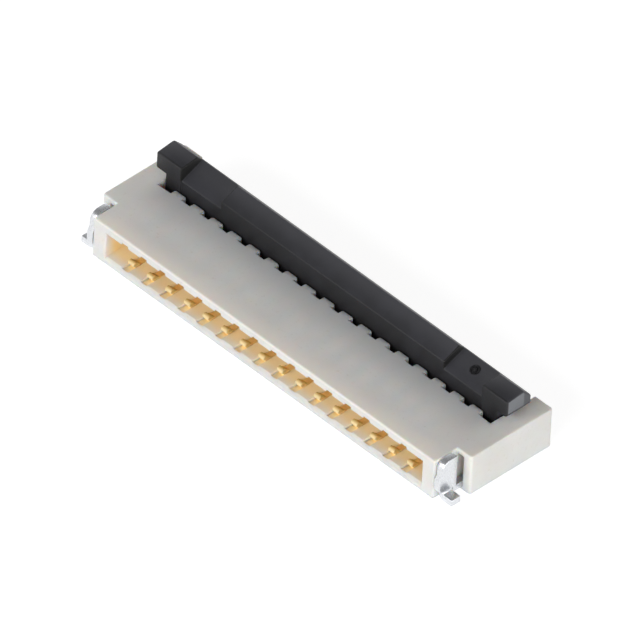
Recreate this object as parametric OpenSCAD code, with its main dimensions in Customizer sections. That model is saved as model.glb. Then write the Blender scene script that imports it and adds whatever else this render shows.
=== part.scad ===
// Board connector for a flat flexible cable, with a flip actuator at the back.
// Millimetres. +X runs along the row of contacts, the cable enters towards +Y,
// +Z points up from the board. The origin is on the board under the centre of
// the overall box. The actuator is drawn upright, which is its open position.

/* [Contacts] */
// Distance between neighbouring contacts
pitch = 0.50; // [0.50:0.01:0.60]
// Thickness of the sheet that the contacts are stamped from
contact_t = 0.15; // [0.10:0.01:0.15]
// Height of the contact beams in the cable slot
beam_h = 0.08; // [0.06:0.01:0.08]
// Height of the lower contact bump above the slot floor
bump_rise = 0.11; // [0.05:0.01:0.13]
// Distance from the front face to the lower contact bump
bump_y = 0.25; // [0.22:0.01:0.32]
// Length of the spine behind the cable
spine_l = 0.18; // [0.14:0.01:0.18]
// Thickness of the arm that hooks over the cam shaft
arm_t = 0.13; // [0.10:0.01:0.13]
// Length of a solder tail behind the housing
tail_l = 0.475; // [0.30:0.005:0.80]
// Thickness of a solder tail
tail_t = 0.12; // [0.08:0.01:0.12]

/* [Housing] */
// Height of the housing above the board
body_h = 0.925; // [0.92:0.005:1.00]
// Thickness of the wall under the cable slot
floor_t = 0.14; // [0.12:0.01:0.15]
// Thickness of the wall over the cable slot
roof_t = 0.185; // [0.15:0.005:0.20]
// Distance that the cable can enter
slot_d = 1.30; // [1.10:0.01:1.32]
// Width of the slot beyond that of the cable
slot_play = 0.01; // [0.01:0.01:0.12]
// Thickness of the post at each end of the slot
post_w = 0.33; // [0.22:0.005:0.40]
// Distance that each wing stands out past its post
wing_w = 0.38; // [0.36:0.005:0.45]
// Distance from the front face to the wings
wing_y = 0.60; // [0.56:0.01:0.80]
// Distance that each wing runs on behind the hinge axis
wing_tail = 0.415; // [0.38:0.005:0.44]
// Radius of the upright corners of the wings
wing_r = 0.06; // [0.03:0.01:0.12]
// Size of the lead-in chamfer at the floor of the slot mouth
lead_in = 0.06; // [0.03:0.01:0.08]
// Size of the lead-in chamfer at the posts of the slot mouth
side_lead_in = 0.03; // [0.02:0.01:0.06]
// Width of the relief above each contact in the lip
relief_w = 0.17; // [0.10:0.01:0.20]
// Height of the relief above each contact in the lip
relief_h = 0.05; // [0.03:0.01:0.08]

/* [Toothed rear edge] */
// Thickness of the wall behind the cable, at the roots of the teeth
root_wall = 0.26; // [0.24:0.01:0.28]
// Length of the teeth
tooth_l = 0.15; // [0.08:0.01:0.15]
// Width of the gap between two teeth
tooth_gap = 0.20; // [0.18:0.01:0.26]
// Size of the chamfer on a tooth's upright corners
tooth_chamfer = 0.03; // [0.02:0.01:0.06]
// Drop of a tooth's top from root to tip
tooth_drop = 0.02; // [0.01:0.01:0.08]

/* [Actuator] */
// Height of the hinge axis above the board
axis_z = 0.40; // [0.39:0.005:0.41]
// Radius of the cam shaft and of its end trunnions
shaft_r = 0.12; // [0.10:0.005:0.12]
// Length of an end trunnion beyond the bar
trunnion_l = 0.235; // [0.15:0.005:0.24]
// Depth of the bar at its end cheeks
bar_d = 0.65; // [0.62:0.01:0.66]
// Distance from the bar's back face to the hinge axis
axis_inset = 0.06; // [0.05:0.01:0.08]
// Distance that the bar's front face stands back between the cheeks
setback = 0.03; // [0.02:0.01:0.06]
// Rise of the bar's ridge above the housing
bar_rise = 0.595; // [0.50:0.005:0.70]
// Size of the finger chamfer behind the ridge
finger_chamfer = 0.21; // [0.12:0.01:0.24]
// Fall of the bar's top from the ridge to the front
top_fall = 0.175; // [0.10:0.005:0.20]
// Fall of a cheek's top from the ridge to the front
cheek_fall = 0.045; // [0.02:0.005:0.08]
// Width of a cheek
cheek_w = 0.395; // [0.30:0.005:0.50]
// Width of the shallow step between a cheek and the middle of the bar
step_w = 1.05; // [0.60:0.05:1.20]
// Depth of the shallow step
step_d = 0.18; // [0.08:0.01:0.20]
// Distance that an ear reaches over its wing
ear_reach = 0.25; // [0.15:0.01:0.28]
// Height of the ears above the housing
ear_lift = 0.18; // [0.17:0.01:0.22]

/* [Fitting nails] */
// Thickness of the sheet that the nails are stamped from
nail_t = 0.15; // [0.10:0.01:0.15]
// Depth of the nail's plate beside the post
plate_d = 0.45; // [0.45:0.01:0.55]
// Radius of the plate's top front corner
plate_r = 0.20; // [0.06:0.01:0.24]
// Height of the plate's nose above the board
nose_z = 0.50; // [0.45:0.01:0.54]
// Distance that the plate stands back above its nose
nose_rake = 0.05; // [0.02:0.01:0.06]
// Radius of the plate's bottom front corner
toe_r = 0.10; // [0.05:0.01:0.14]
// Width of the solder foot along the plate
foot_w = 0.24; // [0.18:0.01:0.26]
// Distance that the solder foot reaches out from the plate
foot_l = 0.235; // [0.20:0.005:0.50]
// Inner radius of the bend between plate and foot
bend_r = 0.05; // [0.03:0.01:0.08]
// Height of the tongue above the board
tongue_z = 0.06; // [0.05:0.01:0.08]
// Height of the tongue itself
tongue_h = 0.14; // [0.10:0.01:0.16]
// Length of the tongue inside the wing
tongue_l = 0.90; // [0.60:0.05:1.00]
// Height of the recess's top above the board, where the nail is pushed in
recess_z = 0.81; // [0.60:0.01:0.84]
// Depth of the recess in the wing's front
recess_d = 0.25; // [0.10:0.05:0.40]

/* [Fits] */
// Gap on each side of a contact in its slot
contact_gap = 0.01; // [0.005:0.005:0.02]
// Gap around a nail's tongue
nail_gap = 0.01; // [0.005:0.005:0.02]
// Radial gap of the trunnions in their bearings and of the cam shaft in the hooks
shaft_gap = 0.02; // [0.01:0.005:0.03]
// Gap between the bar and the wings at each end
end_gap = 0.03; // [0.02:0.005:0.04]
// Gap between the teeth and the upright cheeks
front_gap = 0.01; // [0.01:0.005:0.04]
// Gap between each hook and the bar around it
window_gap = 0.04; // [0.03:0.005:0.04]

/* [Hidden] */
$fn = 48;

contact_n = 16;
skin = 0.04;       // floor left under the contacts
roof_skin = 0.08;  // roof left over the contacts
lap = 0.02;        // overlap that joins two shapes of one piece
cut = 1;           // overshoot of cutting shapes
pocket_past = 0.22;   // length of the actuator's pocket past the slot at each end
foot_slit = 0.02;  // slit between a nail's foot and its tongue
bearing_fn = 64;

// Widths, from the middle of the row
slot_half = ((contact_n + 1) * pitch + slot_play) / 2;
nose_half = slot_half + post_w;
wing_half = nose_half + wing_w;
pocket_half = slot_half + pocket_past;
bar_half = pocket_half - end_gap;
ear_half = pocket_half + ear_reach;

// Depths, from the front face
root_y = slot_d + root_wall;
tip_y = root_y + tooth_l;
cheek_y = tip_y + front_gap;
bar_y = cheek_y + setback;
back_y = cheek_y + bar_d;
axis_y = back_y - axis_inset;
body_d = axis_y + wing_tail;
overall_d = body_d + tail_l;
spine_y = slot_d + lap;

// Heights, from the board
roof_z = body_h - roof_t;
ridge_z = body_h + bar_rise;
ear_z = body_h + ear_lift;
way_top = body_h - roof_skin;
beam_z = skin + contact_gap;
arm_top = way_top - contact_gap;

// The nails' plates, and the bends under them
plate_x = nose_half + 1.5 * nail_gap;
bend_x = plate_x + nail_t + bend_r;
bend_z = nail_t + bend_r;
foot_end = toe_r + foot_w;

// The hinge and the hooks around it
hook_r = shaft_r + shaft_gap;
hook_outer = hook_r + arm_t;
window_r = hook_outer + window_gap;
throat = hook_r * 0.7;

// Draws a section given as [y, z] and runs it from x0 to x1.
module along_x(x0, x1)
    translate([x0, 0, 0]) rotate([90, 0, 90]) linear_extrude(x1 - x0) children();

module both_ends() {
    children();
    mirror([1, 0, 0]) children();
}

module at_contacts()
    for (i = [1:contact_n]) translate([(i - (contact_n + 1) / 2) * pitch, 0, 0]) children();

// ---- housing: one ivory moulding ----

module wing() {
    round_x = wing_half - wing_r;
    round_y = [wing_y + wing_r, body_d - wing_r];
    linear_extrude(body_h) {
        translate([0, wing_y]) square([round_x, body_d - wing_y]);
        translate([0, round_y[0]]) square([wing_half, round_y[1] - round_y[0]]);
    }
    for (y = round_y) translate([round_x, y, 0]) cylinder(r = wing_r, h = body_h);
}

// Room for the cable, with a lead-in at the floor and at both posts.
module cable_slot() {
    along_x(-slot_half, slot_half)
        polygon([[-cut, floor_t - lead_in], [0, floor_t - lead_in], [lead_in, floor_t],
            [slot_d, floor_t], [slot_d, roof_z], [-cut, roof_z]]);
    both_ends() translate([0, 0, floor_t]) linear_extrude(roof_z - floor_t)
        polygon([[slot_half - lap, -cut], [slot_half + side_lead_in, -cut],
            [slot_half + side_lead_in, 0], [slot_half, side_lead_in], [slot_half - lap, side_lead_in]]);
}

// A tooth stands between every two contacts and at both ends of the row.
module teeth() {
    half = (pitch - tooth_gap) / 2;
    intersection() {
        for (i = [0:contact_n]) translate([(i - contact_n / 2) * pitch, 0, 0])
            linear_extrude(body_h) polygon([
                [-half, root_y - lap], [-half, tip_y - tooth_chamfer],
                [-half + tooth_chamfer, tip_y], [half - tooth_chamfer, tip_y],
                [half, tip_y - tooth_chamfer], [half, root_y - lap]]);
        along_x(-pocket_half, pocket_half) polygon([[root_y - lap, 0], [root_y - lap, body_h],
            [root_y, body_h], [tip_y, body_h - tooth_drop], [tip_y, 0]]);
    }
}

// Room for the actuator, open at the back.
module pocket() {
    difference() {
        along_x(-pocket_half, pocket_half) translate([root_y, floor_t])
            square([body_d, body_h]);
        teeth();
    }
}

// Everything that is cut away for one contact.
module contact_way() {
    half = contact_t / 2 + contact_gap;
    along_x(-half, half) {
        // Groove in the floor, open at the back
        translate([beam_z, skin]) square([body_d, floor_t]);
        // Passage through the wall behind the cable
        translate([slot_d - lap, skin]) square([root_wall + 2 * lap, way_top - skin]);
        // Groove in the roof, which stops behind the lip
        translate([bump_y - lap, roof_z - lap])
            square([slot_d - bump_y + lap, way_top - roof_z + lap]);
    }
    along_x(-relief_w / 2, relief_w / 2) translate([-cut, roof_z - lap])
        square([cut + bump_y, relief_h + lap]);
}

// Blind bearing in the wing, with a narrower way in from the back.
module bearing() {
    depth = trunnion_l - end_gap + shaft_gap;
    translate([pocket_half - lap, axis_y, axis_z]) rotate([0, 90, 0])
        cylinder(r = hook_r, h = depth + lap, $fn = bearing_fn);
    along_x(pocket_half - lap, pocket_half + depth)
        translate([axis_y, axis_z - throat]) square([cut, 2 * throat]);
}

// Slot for a nail's tongue, under a shallower recess in the wing's front.
module nail_slot() {
    slot_z = tongue_z - nail_gap;
    slot_top = tongue_z + tongue_h + nail_gap;
    along_x(nose_half, nose_half + nail_t + 2.5 * nail_gap)
        polygon([[wing_y - cut, slot_z], [wing_y + tongue_l + nail_gap, slot_z],
            [wing_y + tongue_l + nail_gap, slot_top], [wing_y + recess_d, slot_top],
            [wing_y + recess_d, recess_z], [wing_y - cut, recess_z]]);
}

module housing_body() {
    difference() {
        union() {
            translate([-nose_half, 0, 0]) cube([2 * nose_half, body_d, body_h]);
            both_ends() wing();
        }
        cable_slot();
        pocket();
        at_contacts() contact_way();
        both_ends() {
            bearing();
            nail_slot();
        }
    }
}

// ---- contacts: stamped blades, one in each slot ----

// A spring beam: flat at z = root, bent so that its round bump reaches z = tip.
module beam(y, root, tip) {
    up = sign(tip - root);
    r = beam_h * 0.7;
    translate([y, tip - up * r]) circle(r);
    polygon([
        [y - r * 0.9, tip - up * r * 1.4], [y - r * 0.5, tip - up * r * 0.3],
        [y + r * 0.5, tip - up * r * 0.3], [y + r * 3, root + up * beam_h],
        [spine_y + lap, root + up * beam_h], [spine_y + lap, root],
        [y + r, root]]);
}

// Stamps out each of the shapes it holds, and joins them into one blade.
module stamped()
    for (i = [0:$children - 1]) along_x(-contact_t / 2, contact_t / 2) children(i);

module contact_blade() {
    spine_back = spine_y + spine_l;
    arm_z = axis_z + hook_r;
    cradle_z = axis_z - hook_r;
    hook_tip = axis_y + hook_r + arm_t * 0.6;
    crank_z = beam_z + tail_t;
    difference() {
        stamped() {
            translate([spine_y, beam_z]) square([spine_l, arm_top - beam_z]);
            // Two beams that grip the cable; the lower one starts with a flat toe
            beam(bump_y, beam_z, floor_t + bump_rise);
            translate([beam_z + contact_gap, beam_z]) square([bump_y, beam_h / 2]);
            beam(bump_y + 3 * beam_h, arm_top, roof_z - bump_rise);
            // Arm that hooks over the cam shaft
            translate([spine_back - lap, arm_z]) square([axis_y - spine_back + lap, arm_t]);
            intersection() {
                translate([axis_y, axis_z]) circle(hook_outer, $fn = bearing_fn);
                polygon([[axis_y - lap, axis_z], [axis_y - lap, axis_z + cut],
                    [hook_tip, axis_z + cut], [hook_tip, arm_z - arm_t], [axis_y, axis_z]]);
            }
            // Base with a cradle under the cam shaft
            translate([spine_back - lap, beam_z])
                square([axis_y + hook_r + 2 * lap - spine_back, cradle_z + lap - beam_z]);
            // Solder tail, cranked down to the board
            polygon([[axis_y, beam_z], [axis_y, cradle_z], [axis_y + hook_r + lap, cradle_z],
                [axis_y + 2 * hook_r, crank_z], [body_d, crank_z], [body_d + 4 * lap, tail_t],
                [overall_d, tail_t], [overall_d, 0], [body_d + 3 * lap, 0], [body_d, beam_z]]);
        }
        along_x(-contact_t, contact_t)
            translate([axis_y, axis_z]) circle(hook_r, $fn = bearing_fn);
    }
}

// ---- fitting nails: stamped plates with a bent foot and a tongue ----

// The upright plate, which stands back above its nose.
module nail_plate() {
    along_x(plate_x, plate_x + nail_t) polygon([
        [plate_d, tongue_z], [plate_d, body_h], [nose_rake + plate_r, body_h],
        [nose_rake + plate_r, body_h - plate_r], [nose_rake, body_h - plate_r],
        [nose_rake, nose_z + 2 * nose_rake], [0, nose_z],
        [0, bend_z + toe_r], [toe_r, bend_z + toe_r], [toe_r, bend_z],
        [foot_end + foot_slit, bend_z], [foot_end + foot_slit, tongue_z]]);
    along_x(plate_x, plate_x + nail_t)
        translate([nose_rake + plate_r, body_h - plate_r]) circle(plate_r);
    along_x(plate_x, plate_x + nail_t) translate([toe_r, bend_z + toe_r]) circle(toe_r);
}

// The foot, bent out of the plate.
module nail_foot()
    translate([0, foot_end, 0]) rotate([90, 0, 0]) linear_extrude(foot_w) difference() {
        translate([plate_x, 0]) square([nail_t + foot_l, bend_z + lap]);
        translate([bend_x, nail_t]) square([foot_l, bend_z]);
        translate([plate_x + nail_t, bend_z]) square([foot_l, bend_z]);
        translate([bend_x, bend_z]) circle(bend_r);
        difference() {
            translate([plate_x - lap, -lap]) square(bend_z + lap);
            translate([bend_x, bend_z]) circle(bend_z);
        }
    }

module nail() {
    nail_plate();
    nail_foot();
    along_x(plate_x, plate_x + nail_t) translate([plate_d - lap, tongue_z])
        square([wing_y - plate_d + lap + tongue_l, tongue_h]);
}

// ---- actuator: one black moulding that turns on its end trunnions ----

// The bar's outline above its heel: front face at y, top falling from ridge to front.
module bar_top(y, z, fall) {
    polygon([[y, z], [y, ridge_z - fall], [back_y - finger_chamfer, ridge_z],
        [back_y, ridge_z - finger_chamfer], [back_y, z]]);
}

// The step is as deep everywhere, so its floor follows the slope of the top.
module step_cut() {
    slope = top_fall / (back_y - finger_chamfer - bar_y);
    low = ridge_z - top_fall - step_d;
    polygon([[bar_y - cut, low - cut * slope], [back_y + cut, low + (back_y + cut - bar_y) * slope],
        [back_y + cut, ridge_z + cut], [bar_y - cut, ridge_z + cut]]);
}

// The room that a contact's hook needs from upright to closed, around the cam shaft.
module hook_window() {
    half = contact_t / 2 + window_gap;
    along_x(-half, half) difference() {
        union() {
            translate([axis_y, axis_z]) circle(window_r, $fn = bearing_fn);
            translate([axis_y - cut, axis_z - window_r]) square([cut, 2 * window_r]);
        }
        translate([axis_y, axis_z]) circle(shaft_r, $fn = bearing_fn);
    }
}

module actuator_body() {
    cheek_x = bar_half - cheek_w;
    step_x = cheek_x - step_w;
    heel_z = axis_z + lap;
    difference() {
        along_x(-bar_half, bar_half) {
            bar_top(bar_y, axis_z + lap, top_fall);
            polygon([[bar_y, heel_z], [back_y, heel_z], [back_y, axis_z], [axis_y, axis_z - shaft_r]]);
        }
        at_contacts() hook_window();
        both_ends() along_x(step_x, bar_half + cut) step_cut();
    }
    both_ends() {
        along_x(cheek_x, bar_half) bar_top(cheek_y, axis_z + shaft_r, cheek_fall);
        along_x(bar_half - lap, ear_half) bar_top(cheek_y, ear_z, cheek_fall);
    }
    // Cam shaft and trunnions, in one run
    translate([-bar_half - trunnion_l, axis_y, axis_z]) rotate([0, 90, 0])
        cylinder(r = shaft_r, h = 2 * (bar_half + trunnion_l), $fn = bearing_fn);
}

// ---- nodes ----

module placed() translate([0, -overall_d / 2, 0]) children();

module housing() color("ivory") placed() housing_body();

module actuator() color([0.13, 0.13, 0.14]) placed() actuator_body();

module fitting_nail_right() color("silver") placed() nail();

module fitting_nail_left() color("silver") placed() mirror([1, 0, 0]) nail();

module contact(i) color("gold") placed()
    translate([(i - (contact_n + 1) / 2) * pitch, 0, 0]) contact_blade();

housing();
actuator();
fitting_nail_left();
fitting_nail_right();
contact(1);  // contact_01
contact(2);  // contact_02
contact(3);  // contact_03
contact(4);  // contact_04
contact(5);  // contact_05
contact(6);  // contact_06
contact(7);  // contact_07
contact(8);  // contact_08
contact(9);  // contact_09
contact(10);  // contact_10
contact(11);  // contact_11
contact(12);  // contact_12
contact(13);  // contact_13
contact(14);  // contact_14
contact(15);  // contact_15
contact(16);  // contact_16
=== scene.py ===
import math

import bmesh
import bpy
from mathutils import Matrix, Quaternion, Vector, noise


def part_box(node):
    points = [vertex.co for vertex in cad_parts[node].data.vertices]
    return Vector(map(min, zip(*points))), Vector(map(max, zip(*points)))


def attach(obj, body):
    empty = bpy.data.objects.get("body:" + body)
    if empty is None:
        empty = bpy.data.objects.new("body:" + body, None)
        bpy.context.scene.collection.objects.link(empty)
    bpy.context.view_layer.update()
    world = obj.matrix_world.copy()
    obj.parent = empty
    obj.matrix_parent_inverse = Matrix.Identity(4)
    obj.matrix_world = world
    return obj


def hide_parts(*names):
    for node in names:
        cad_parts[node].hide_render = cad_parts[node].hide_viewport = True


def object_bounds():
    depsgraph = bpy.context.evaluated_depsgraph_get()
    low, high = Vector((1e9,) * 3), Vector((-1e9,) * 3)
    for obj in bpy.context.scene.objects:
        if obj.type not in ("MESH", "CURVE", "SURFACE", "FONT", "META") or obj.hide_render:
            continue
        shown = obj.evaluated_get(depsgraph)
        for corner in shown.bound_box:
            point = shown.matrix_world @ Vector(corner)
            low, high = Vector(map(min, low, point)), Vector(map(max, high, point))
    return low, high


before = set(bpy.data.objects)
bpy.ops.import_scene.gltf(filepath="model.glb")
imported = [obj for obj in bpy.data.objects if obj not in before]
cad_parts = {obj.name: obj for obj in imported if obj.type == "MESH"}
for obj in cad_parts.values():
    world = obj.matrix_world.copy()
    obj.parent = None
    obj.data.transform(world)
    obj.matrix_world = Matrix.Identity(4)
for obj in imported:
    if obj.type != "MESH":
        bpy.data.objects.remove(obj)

MM = 0.001
cad_low, cad_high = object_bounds()


# ---- Housing ----
# The ivory body is one injection moulding in a heat-proof plastic that survives the solder
# oven. Its surface is matt from the spark-eroded mould, and its edges are slightly eased.

OUTER_EDGE = 0.030 * MM            # radius along the top outline and at the front corners
INNER_EDGE = 0.010 * MM            # radius of all other edges
IVORY = (0.800, 0.788, 0.756, 1)
IVORY_PALE = (0.850, 0.840, 0.814, 1)
IVORY_SPECK = (0.745, 0.722, 0.668, 1)
IVORY_LIP = (0.960, 0.900, 0.840, 1)
# the next colour is painted shade, for the top near the bar
IVORY_BAR_SHADE = (0.480, 0.485, 0.500, 1)
SLOT_WARM = (1.000, 0.720, 0.320, 1)  # gold light thrown on the plastic between the contacts
TOP_SHELF = 0.021 * MM             # how far the teeth's tops fall below the top face
SLOT_END = 0.65 * MM               # from the housing's end to just past the slot's end wall
SLOT_DEPTH = 1.48 * MM             # from the front face into the wall behind the cable


def eased_copy(node, name, body, easings):
    """A piece that stands for a CAD node: its flat facets joined and its sharp edges eased.
    Each easing is a radius and a test that picks edges."""
    mesh = bpy.data.meshes.new(name)
    bm = bmesh.new()
    bm.from_mesh(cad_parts[node].data)
    bmesh.ops.remove_doubles(bm, verts=bm.verts, dist=0.0005 * MM)
    bmesh.ops.dissolve_limit(bm, angle_limit=math.radians(1), use_dissolve_boundaries=False,
                             verts=bm.verts, edges=bm.edges)
    for radius, wanted in easings:
        bm.normal_update()
        sharp = [e for e in bm.edges if e.is_manifold
                 and e.calc_face_angle() > math.radians(32) and wanted(e)]
        bmesh.ops.bevel(bm, geom=sharp, offset=radius, offset_type="OFFSET", segments=3,
                        profile=0.5, affect="EDGES", clamp_overlap=False, material=-1)
    for face in bm.faces:
        face.smooth = True
    bm.to_mesh(mesh)
    bm.free()
    piece = bpy.data.objects.new(name, mesh)
    bpy.context.scene.collection.objects.link(piece)
    shade = piece.modifiers.new("flat faces stay flat", "WEIGHTED_NORMAL")
    shade.weight = 90
    shade.keep_sharp = True
    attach(piece, body)
    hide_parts(node)
    return piece


def any_edge(edge):
    return True


def new_material(name):
    """An empty node material with one Principled shader, and a function that adds nodes to it."""
    material = bpy.data.materials.new(name)
    material.use_nodes = True
    tree = material.node_tree
    shader = tree.nodes["Principled BSDF"]

    def add(kind, inputs=(), **settings):
        node = tree.nodes.new(kind)
        for key, value in settings.items():
            setattr(node, key, value)
        for socket, value in dict(inputs).items():
            if isinstance(value, bpy.types.NodeSocket):
                tree.links.new(value, node.inputs[socket])
            else:
                node.inputs[socket].default_value = value
        return node

    return material, shader, add, tree.links.new


def blend_colours(add, factor, a, b):
    """The result socket of a colour mix from a to b."""
    mix = add("ShaderNodeMix", {0: factor}, data_type="RGBA")
    for index, value in ((6, a), (7, b)):
        if isinstance(value, bpy.types.NodeSocket):
            mix.id_data.links.new(value, mix.inputs[index])
        else:
            mix.inputs[index].default_value = value
    return mix.outputs[2]


def step_up(add, value, low, high):
    """0 below low, 1 above high, and a smooth rise between."""
    ramp = add("ShaderNodeMapRange", {"Value": value, "From Min": low, "From Max": high},
               interpolation_type="SMOOTHSTEP")
    return ramp.outputs["Result"]


def times(add, a, b):
    return add("ShaderNodeMath", {0: a, 1: b}, operation="MULTIPLY").outputs[0]


housing_low, housing_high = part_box("housing")


def on_outline(edge):
    """Edges of the housing's top face, and the upright ones at its front corners."""
    at_top = min(v.co.z for v in edge.verts) > housing_high.z - TOP_SHELF
    level = max(face.normal.z for face in edge.link_faces) > 0.9
    in_front = max(v.co.y for v in edge.verts) < housing_low.y + 0.001 * MM
    upright = abs(edge.verts[0].co.z - edge.verts[1].co.z) > 0.5 * MM
    at_end = min(abs(v.co.x) for v in edge.verts) > 4.5 * MM
    return (at_top and level) or (in_front and upright and at_end)


housing = eased_copy("housing", "housing_shell", "connector_body",
                     [(OUTER_EDGE, on_outline), (INNER_EDGE, any_edge)])

ivory, shader, add, link = new_material("ivory_plastic")
where = add("ShaderNodeTexCoord").outputs["Object"]
cloud = add("ShaderNodeTexNoise", {"Vector": where, "Scale": 900, "Detail": 3, "Roughness": 0.55})
mottle = add("ShaderNodeTexNoise", {"Vector": where, "Scale": 14000, "Detail": 4, "Roughness": 0.6})
grain = add("ShaderNodeTexNoise", {"Vector": where, "Scale": 52000, "Detail": 3, "Roughness": 0.7})
even = blend_colours(add, step_up(add, cloud.outputs["Fac"], 0.30, 0.70), IVORY, IVORY_PALE)
spotted = blend_colours(add, step_up(add, mottle.outputs["Fac"], 0.56, 0.78), even, IVORY_SPECK)
place = add("ShaderNodeSeparateXYZ", {"Vector": where})
across, height = place.outputs["X"], place.outputs["Z"]
depth = add("ShaderNodeMath", {0: place.outputs["Y"], 1: housing_low.y},
            operation="SUBTRACT").outputs[0]
aside = add("ShaderNodeMath", {0: across}, operation="ABSOLUTE").outputs[0]
to_end = add("ShaderNodeMath", {0: housing_high.x, 1: aside}, operation="SUBTRACT").outputs[0]

# The gold light fills the slot: from its floor to its roof, and from the mouth to the wall.
deep = step_up(add, depth, 0, 0.34 * MM)
above_floor = step_up(add, height, 0.10 * MM, 0.16 * MM)
under_roof = step_up(add, height, 0.86 * MM, 0.78 * MM)
before_wall = step_up(add, depth, SLOT_DEPTH + 0.04 * MM, SLOT_DEPTH - 0.03 * MM)
between = step_up(add, to_end, SLOT_END - 0.03 * MM, SLOT_END + 0.03 * MM)
inside = times(add, times(add, above_floor, under_roof), times(add, deep, before_wall))
inside = times(add, inside, between)

# The top is painted palest at the front lip, as the light that comes through the thin wall from the
# slot, and painted grey towards the teeth, as the shade of the upright bar.
on_top = step_up(add, height, 0.86 * MM, 0.90 * MM)
frontward = step_up(add, depth, 0.50 * MM, 0.03 * MM)
topside = blend_colours(add, times(add, frontward, on_top), spotted, IVORY_LIP)
rearward = step_up(add, depth, 0.70 * MM, 1.70 * MM)
off_wings = step_up(add, to_end, 0.30 * MM, 0.80 * MM)
bar_shade = times(add, times(add, rearward, on_top), off_wings)
topside = blend_colours(add, times(add, bar_shade, 0.70), topside, IVORY_BAR_SHADE)
link(blend_colours(add, times(add, inside, 0.95), topside, SLOT_WARM),
     shader.inputs["Base Color"])
gloss = add("ShaderNodeMapRange", {"Value": mottle.outputs["Fac"], "To Min": 0.50, "To Max": 0.62})
link(gloss.outputs["Result"], shader.inputs["Roughness"])
bump = add("ShaderNodeBump", {"Height": grain.outputs["Fac"], "Strength": 0.30,
                              "Distance": 0.004 * MM})
link(bump.outputs["Normal"], shader.inputs["Normal"])
shader.inputs["IOR"].default_value = 1.55
shader.inputs["Subsurface Weight"].default_value = 0.5
shader.inputs["Subsurface Radius"].default_value = (1.0, 0.62, 0.35)
shader.inputs["Subsurface Scale"].default_value = 0.25 * MM
housing.data.materials.append(ivory)


# ---- Contacts ----
# Each contact is an H-shaped blade stamped out of springy bronze sheet, plated with nickel
# and gold, and pushed into its slot from behind. The tail ends show the sheared bronze.

CONTACT_EDGE = 0.008 * MM
GOLD = (0.970, 0.830, 0.530, 1)
GOLD_DEEP = (0.930, 0.740, 0.400, 1)
GOLD_BUMP_SHADE = (0.700, 0.560, 0.260, 1)   # painted shade: the bumps, darkened to dim their reflection
GOLD_TOE_LIGHT = (0.990, 0.930, 0.780, 1)     # painted light: the toes, paler where they run out to the bright front of the slot
BARE_BRONZE = (0.620, 0.330, 0.180, 1)   # the tail ends, where the strip was sheared off

contact_low, contact_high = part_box("contact_01")

gold, shader, add, link = new_material("gold_plating")
where = add("ShaderNodeTexCoord").outputs["Object"]
drawn = add("ShaderNodeMapping", {"Vector": where, "Scale": (1, 0.12, 1)})
streak = add("ShaderNodeTexNoise", {"Vector": drawn.outputs["Vector"], "Scale": 30000, "Detail": 3})
patch = add("ShaderNodeTexNoise", {"Vector": where, "Scale": 6000, "Detail": 2})
plated = blend_colours(add, step_up(add, patch.outputs["Fac"], 0.35, 0.75), GOLD, GOLD_DEEP)
place = add("ShaderNodeSeparateXYZ", {"Vector": where})
along = add("ShaderNodeMath", {0: place.outputs["Y"], 1: contact_low.y},
            operation="SUBTRACT").outputs[0]
# Painted shade: the bumps are painted a darker gold, and made rougher.
end_wear_and_bump_shade = times(add, step_up(add, along, 0.42 * MM, 0.34 * MM),
               step_up(add, place.outputs["Z"], 0.13 * MM, 0.19 * MM))
plated = blend_colours(add, end_wear_and_bump_shade, plated, GOLD_BUMP_SHADE)
# Painted light: the toes are painted paler towards the bright front.
toe_light = step_up(add, along, 0.20 * MM, 0.06 * MM)
plated = blend_colours(add, toe_light, plated, GOLD_TOE_LIGHT)
blade_length = contact_high.y - contact_low.y
sheared = step_up(add, along, blade_length - 0.012 * MM, blade_length - 0.006 * MM)
link(blend_colours(add, sheared, plated, BARE_BRONZE), shader.inputs["Base Color"])
gloss = add("ShaderNodeMapRange", {"Value": streak.outputs["Fac"], "To Min": 0.50, "To Max": 0.68})
matt = add("ShaderNodeMath", {0: end_wear_and_bump_shade, 1: 0.28, 2: gloss.outputs["Result"]},
           operation="MULTIPLY_ADD")
link(matt.outputs[0], shader.inputs["Roughness"])
bump = add("ShaderNodeBump", {"Height": streak.outputs["Fac"], "Strength": 0.25,
                              "Distance": 0.002 * MM})
link(bump.outputs["Normal"], shader.inputs["Normal"])
shader.inputs["Metallic"].default_value = 1.0

contact_nodes = sorted(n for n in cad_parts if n.startswith("contact_"))
for node in contact_nodes:
    blade = eased_copy(node, node.replace("contact", "contact_blade"), "connector_body",
                       [(CONTACT_EDGE, any_edge)])
    blade.data.materials.append(gold)


# ---- Fitting nails ----
# A nail at each end holds the housing down: tin-plated sheet, stamped, with a foot bent out
# for solder and a tongue pushed into the wing. The tin has flowed and set in soft waves.

NAIL_EDGE = 0.012 * MM
TIN = (0.720, 0.735, 0.760, 1)
TIN_DULL = (0.560, 0.575, 0.600, 1)

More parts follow.
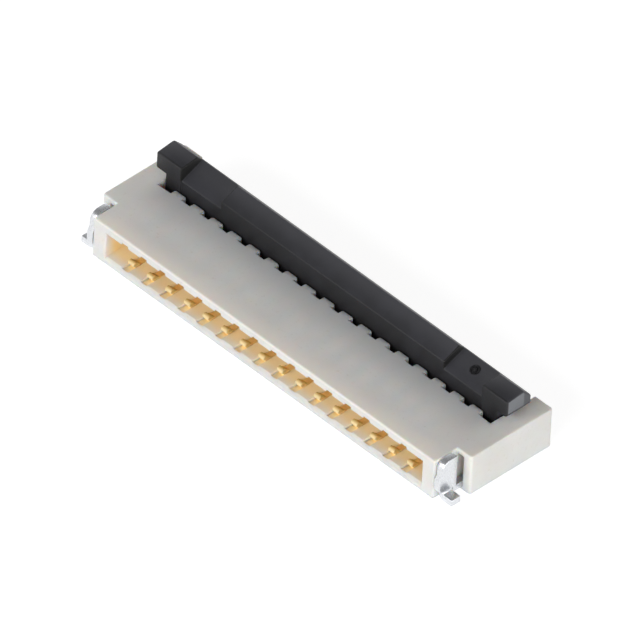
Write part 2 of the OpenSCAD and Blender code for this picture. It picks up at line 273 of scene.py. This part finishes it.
tin, shader, add, link = new_material("tin_plating")
where = add("ShaderNodeTexCoord").outputs["Object"]
flow = add("ShaderNodeTexNoise", {"Vector": where, "Scale": 5200, "Detail": 2, "Distortion": 0.6})
frost = add("ShaderNodeTexNoise", {"Vector": where, "Scale": 40000, "Detail": 4})
link(blend_colours(add, step_up(add, frost.outputs["Fac"], 0.45, 0.75), TIN, TIN_DULL),
     shader.inputs["Base Color"])
gloss = add("ShaderNodeMapRange", {"Value": frost.outputs["Fac"], "To Min": 0.20, "To Max": 0.38})
link(gloss.outputs["Result"], shader.inputs["Roughness"])
waves = add("ShaderNodeBump", {"Height": flow.outputs["Fac"], "Strength": 0.4,
                               "Distance": 0.010 * MM})
fine = add("ShaderNodeBump", {"Height": frost.outputs["Fac"], "Strength": 0.15,
                              "Distance": 0.002 * MM, "Normal": waves.outputs["Normal"]})
link(fine.outputs["Normal"], shader.inputs["Normal"])
shader.inputs["Metallic"].default_value = 1.0

for side in ("left", "right"):
    nail = eased_copy("fitting_nail_" + side, "solder_nail_" + side, "connector_body",
                      [(NAIL_EDGE, any_edge)])
    nail.data.materials.append(tin)


# ---- Actuator ----
# The black flip bar is one moulding in a glass-filled plastic, snapped by its trunnions into
# the wings. It shows a faint sheen, a back edge painted paler as sheen, rubbed pale end faces,
# painted shade on its step sides and front, and a round gate mark.

STEP_SLOPE = 0.432                 # rise of the steps' floors towards the back
STEP_SIDES = (3.00 * MM, 4.05 * MM)  # the steps' cut sides, from the middle of the bar
SIDE_BAND = 0.022 * MM             # half the width of the painted shade band at a cut side
EAR_EDGE = 0.045 * MM
BAR_EDGE = 0.018 * MM
BLACK = (0.020, 0.020, 0.024, 1)
BLACK_SHEEN = (0.032, 0.032, 0.040, 1)
FIBRE_SPECK = (0.050, 0.051, 0.056, 1)
RIDGE_SHEEN = (0.062, 0.062, 0.070, 1)   # painted sheen: lighter towards the top's back edge
RUBBED = (0.200, 0.210, 0.225, 1)
# painted shade, for the steps' cut sides and the bar's front
SHADE_BLACK = (0.002, 0.002, 0.002, 1)

bar_low, bar_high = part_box("actuator")


def around_ear_end(edge):
    return min(abs(v.co.x) for v in edge.verts) > bar_high.x - 0.001 * MM


bar = eased_copy("actuator", "flip_bar_moulding", "flip_bar",
                 [(EAR_EDGE, around_ear_end), (BAR_EDGE, any_edge)])

black, shader, add, link = new_material("black_plastic")
where = add("ShaderNodeTexCoord").outputs["Object"]
cloud = add("ShaderNodeTexNoise", {"Vector": where, "Scale": 1500, "Detail": 3})
fibre = add("ShaderNodeTexNoise", {"Vector": where, "Scale": 26000, "Detail": 4, "Roughness": 0.65})
grain = add("ShaderNodeTexNoise", {"Vector": where, "Scale": 70000, "Detail": 2})
even = blend_colours(add, step_up(add, cloud.outputs["Fac"], 0.35, 0.70), BLACK, BLACK_SHEEN)
specks_and_sheen = blend_colours(add, step_up(add, fibre.outputs["Fac"], 0.66, 0.80), even, FIBRE_SPECK)
place = add("ShaderNodeSeparateXYZ", {"Vector": where})
# Painted sheen: the top is painted lighter towards its back edge.
sheen_to_ridge = step_up(add, place.outputs["Y"], 0.18 * MM, 0.54 * MM)
specks_and_sheen = blend_colours(add, times(add, sheen_to_ridge, 0.8), specks_and_sheen, RIDGE_SHEEN)
out = add("ShaderNodeMath", {0: place.outputs["X"]}, operation="ABSOLUTE").outputs[0]

# The end faces are rubbed pale in front of the ridge, and less so behind it.
end_face = step_up(add, out, bar_high.x - 0.008 * MM, bar_high.x - 0.002 * MM)
end_wear_and_bump_shade = times(add, step_up(add, place.outputs["Y"], bar_low.y + 0.02 * MM, bar_low.y + 0.05 * MM),
               step_up(add, place.outputs["Z"], 1.15 * MM, 1.19 * MM))
behind = step_up(add, place.outputs["Y"], 0.590 * MM, 0.545 * MM)
behind = add("ShaderNodeMapRange", {"Value": behind, "To Min": 0.25, "To Max": 0.90}).outputs[0]
end_wear_and_bump_shade = times(add, times(add, end_wear_and_bump_shade, behind), end_face)
wear_and_sheen = blend_colours(add, end_wear_and_bump_shade, specks_and_sheen, RUBBED)

# Painted shade: the steps' cut sides are painted near-black, and the front darker than the top.
inner, outer = (
    add("ShaderNodeMath", {0: out, 1: side, 2: SIDE_BAND}, operation="COMPARE").outputs[0]
    for side in STEP_SIDES)
shaded_sides = add("ShaderNodeMath", {0: inner, 1: outer}, operation="MAXIMUM").outputs[0]
lift = add("ShaderNodeMath", {0: place.outputs["Y"], 1: -STEP_SLOPE, 2: place.outputs["Z"]},
           operation="MULTIPLY_ADD").outputs[0]
shaded_sides = times(add, shaded_sides, step_up(add, lift, 1.100 * MM, 1.112 * MM))
shaded_front = step_up(add, place.outputs["Y"], 0.172 * MM, 0.160 * MM)
painted_shade = add("ShaderNodeMath", {0: shaded_sides, 1: times(add, shaded_front, 0.6)},
           operation="MAXIMUM").outputs[0]
link(blend_colours(add, painted_shade, wear_and_sheen, SHADE_BLACK), shader.inputs["Base Color"])
gloss = add("ShaderNodeMapRange", {"Value": fibre.outputs["Fac"], "To Min": 0.48, "To Max": 0.64})
link(gloss.outputs["Result"], shader.inputs["Roughness"])
bump = add("ShaderNodeBump", {"Height": grain.outputs["Fac"], "Strength": 0.35,
                              "Distance": 0.004 * MM})
link(bump.outputs["Normal"], shader.inputs["Normal"])
shader.inputs["IOR"].default_value = 1.46
bar.data.materials.append(black)


# ---- Gate mark ----
# Where the molten plastic entered the bar's mould, the runner was torn off: a low ring with a
# rough stub in it, on the sloping floor of the right step.

GATE_RADIUS = 0.11 * MM
GATE_PLACE = Vector((3.51, 0.47, 1.303)) * MM
ROUGH_ABOVE = 0.05                 # what was torn lies above this, in radii
ROUGH_LUMP = 0.45                  # size of the torn lumps, in radii
TORN_DARK = (0.006, 0.006, 0.007, 1)
TORN_PALE = (0.045, 0.045, 0.050, 1)
profile = [(0, -0.2), (1, -0.2), (1, 0.03), (0.93, 0.10), (0.78, 0.10), (0.66, 0.02),
           (0.46, 0.02), (0.38, 0.22), (0.25, 0.27), (0, 0.24)]
bm = bmesh.new()
chain = [bm.verts.new((r * GATE_RADIUS, 0, h * GATE_RADIUS)) for r, h in profile]
for a, b in zip(chain, chain[1:]):
    bm.edges.new((a, b))
bmesh.ops.spin(bm, geom=bm.verts[:] + bm.edges[:], cent=(0, 0, 0), axis=(0, 0, 1),
               angle=2 * math.pi, steps=32, use_merge=True)
bmesh.ops.remove_doubles(bm, verts=bm.verts, dist=0.0001 * MM)
bmesh.ops.recalc_face_normals(bm, faces=bm.faces)
for v in bm.verts:
    if v.co.z > ROUGH_ABOVE * GATE_RADIUS:
        v.co.z *= 1.0 + 1.1 * noise.noise(v.co / (ROUGH_LUMP * GATE_RADIUS))
upright = Vector((0, -STEP_SLOPE, 1)).normalized()
turn = upright.to_track_quat("Z", "Y").to_matrix().to_4x4()
bmesh.ops.transform(bm, matrix=turn, verts=bm.verts)
bmesh.ops.translate(bm, verts=bm.verts, vec=GATE_PLACE)
mesh = bpy.data.meshes.new("gate_mark")
bm.to_mesh(mesh)
bm.free()
gate = bpy.data.objects.new("gate_mark", mesh)
bpy.context.scene.collection.objects.link(gate)
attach(gate, "flip_bar")

torn, shader, add, link = new_material("torn_plastic")
where = add("ShaderNodeTexCoord").outputs["Object"]
ragged = add("ShaderNodeTexNoise", {"Vector": where, "Scale": 34000, "Detail": 4})
link(blend_colours(add, step_up(add, ragged.outputs["Fac"], 0.45, 0.75), TORN_DARK, TORN_PALE),
     shader.inputs["Base Color"])
bump = add("ShaderNodeBump", {"Height": ragged.outputs["Fac"], "Strength": 0.8,
                              "Distance": 0.012 * MM})
link(bump.outputs["Normal"], shader.inputs["Normal"])
shader.inputs["Roughness"].default_value = 0.75
shader.inputs["Specular IOR Level"].default_value = 0.25
gate.data.materials.append(torn)


# ---- Floor ----
# A plain white sweep that the connector stands on. It is nearly white to the camera and in
# reflections, and keeps a soft shadow under the object.

FLOOR_HALF = 400 * MM
PAPER = (0.86, 0.86, 0.86, 1)
PAPER_GLOW = 1.85                  # light given off where the camera or a reflection looks
GLOW_SHARE = 0.45
bm = bmesh.new()
bmesh.ops.create_grid(bm, x_segments=1, y_segments=1, size=FLOOR_HALF)
mesh = bpy.data.meshes.new("floor")
bm.to_mesh(mesh)
bm.free()
floor = bpy.data.objects.new("floor", mesh)
bpy.context.scene.collection.objects.link(floor)

paper, shader, add, link = new_material("floor_paper")
shader.inputs["Base Color"].default_value = PAPER
shader.inputs["Roughness"].default_value = 0.8
rays = add("ShaderNodeLightPath")
seen = add("ShaderNodeMath", {0: rays.outputs["Is Camera Ray"], 1: rays.outputs["Is Glossy Ray"]},
           operation="MAXIMUM")
white = add("ShaderNodeEmission", {"Color": (1, 1, 1, 1), "Strength": PAPER_GLOW})
lit = add("ShaderNodeMixShader", {0: times(add, seen.outputs[0], GLOW_SHARE),
                                  1: shader.outputs[0], 2: white.outputs[0]})
link(lit.outputs[0], paper.node_tree.nodes["Material Output"].inputs["Surface"])
floor.data.materials.append(paper)


# ---- Light ----
# A light tent: an even pale surround, brighter soft panels at the right and front, weaker ones
# at the back and left, and little from above, so that the upright faces are the brightest.

TENT_LEVEL = 0.145                 # light from all round on matt surfaces
MIRRORED_SIDES = 1.0               # what a glossy surface mirrors of the tent's sides
MIRRORED_ROOF = 0.30               # and of its roof
PANEL_DISTANCE = 90 * MM
PANEL_WIDTH = 90 * MM
PANEL_HEIGHT = 0.35 * PANEL_WIDTH

world = bpy.data.worlds.new("tent")
bpy.context.scene.world = world
world.use_nodes = True
tree = world.node_tree
background = tree.nodes["Background"]
background.inputs["Color"].default_value = (1.0, 1.0, 1.0, 1)
rays = tree.nodes.new("ShaderNodeLightPath")
sky = tree.nodes.new("ShaderNodeTexCoord")
height = tree.nodes.new("ShaderNodeSeparateXYZ")
tree.links.new(sky.outputs["Generated"], height.inputs[0])
mirrored = tree.nodes.new("ShaderNodeMapRange")
mirrored.inputs["From Min"].default_value = 0.30
mirrored.inputs["From Max"].default_value = 0.65
mirrored.inputs["To Min"].default_value = MIRRORED_SIDES
mirrored.inputs["To Max"].default_value = MIRRORED_ROOF
tree.links.new(height.outputs["Z"], mirrored.inputs["Value"])
level = tree.nodes.new("ShaderNodeMix")
level.inputs[2].default_value = TENT_LEVEL
tree.links.new(rays.outputs["Is Glossy Ray"], level.inputs[0])
tree.links.new(mirrored.outputs["Result"], level.inputs[3])
shown = tree.nodes.new("ShaderNodeMath")
shown.operation = "MAXIMUM"
tree.links.new(rays.outputs["Is Camera Ray"], shown.inputs[0])
tree.links.new(level.outputs[0], shown.inputs[1])
tree.links.new(shown.outputs[0], background.inputs["Strength"])


def direction(azimuth, elevation):
    """A unit arrow away from the object; azimuth 0 is in front and 90 at the right."""
    a, e = math.radians(azimuth), math.radians(elevation)
    return Vector((math.sin(a) * math.cos(e), -math.cos(a) * math.cos(e), math.sin(e)))


def panel(name, azimuth, elevation, power):
    """A wide, low soft lamp aimed at the object."""
    light = bpy.data.lights.new(name, "AREA")
    light.shape = "RECTANGLE"
    light.size = PANEL_WIDTH
    light.size_y = PANEL_HEIGHT
    light.energy = power
    lamp = bpy.data.objects.new(name, light)
    bpy.context.scene.collection.objects.link(lamp)
    away = direction(azimuth, elevation)
    lamp.location = away * PANEL_DISTANCE
    lamp.rotation_euler = away.to_track_quat("Z", "Y").to_euler()


panel("panel_right", 86, 8, 0.044)
panel("panel_front", 2, 30, 0.055)
panel("panel_back", 205, 8, 0.022)
panel("panel_left", 272, 8, 0.016)


# ---- Camera ----
# The object is seen from so far away that its parallel edges stay parallel.

AZIMUTH, ELEVATION, ROLL = 43.8, 41.4, 3.3
FIELD = 11.963 * MM                # width of the view at the object
DISTANCE = 150 * MM
OFF_CENTRE = Vector((0.289, -0.431, 0.165)) * MM
aim = (cad_low + cad_high) / 2 + OFF_CENTRE

camera = bpy.data.objects.new("camera", bpy.data.cameras.new("camera"))
bpy.context.scene.collection.objects.link(camera)
bpy.context.scene.camera = camera
camera.data.type = "ORTHO"
camera.data.ortho_scale = FIELD
away = direction(AZIMUTH, ELEVATION)
camera.location = aim + away * DISTANCE
camera.rotation_mode = "QUATERNION"
camera.rotation_quaternion = (away.to_track_quat("Z", "Y")
                              @ Quaternion((0, 0, 1), math.radians(ROLL)))
camera.data.clip_start = DISTANCE * 0.1
camera.data.clip_end = DISTANCE * 20

bpy.context.scene.view_settings.view_transform = "Standard"
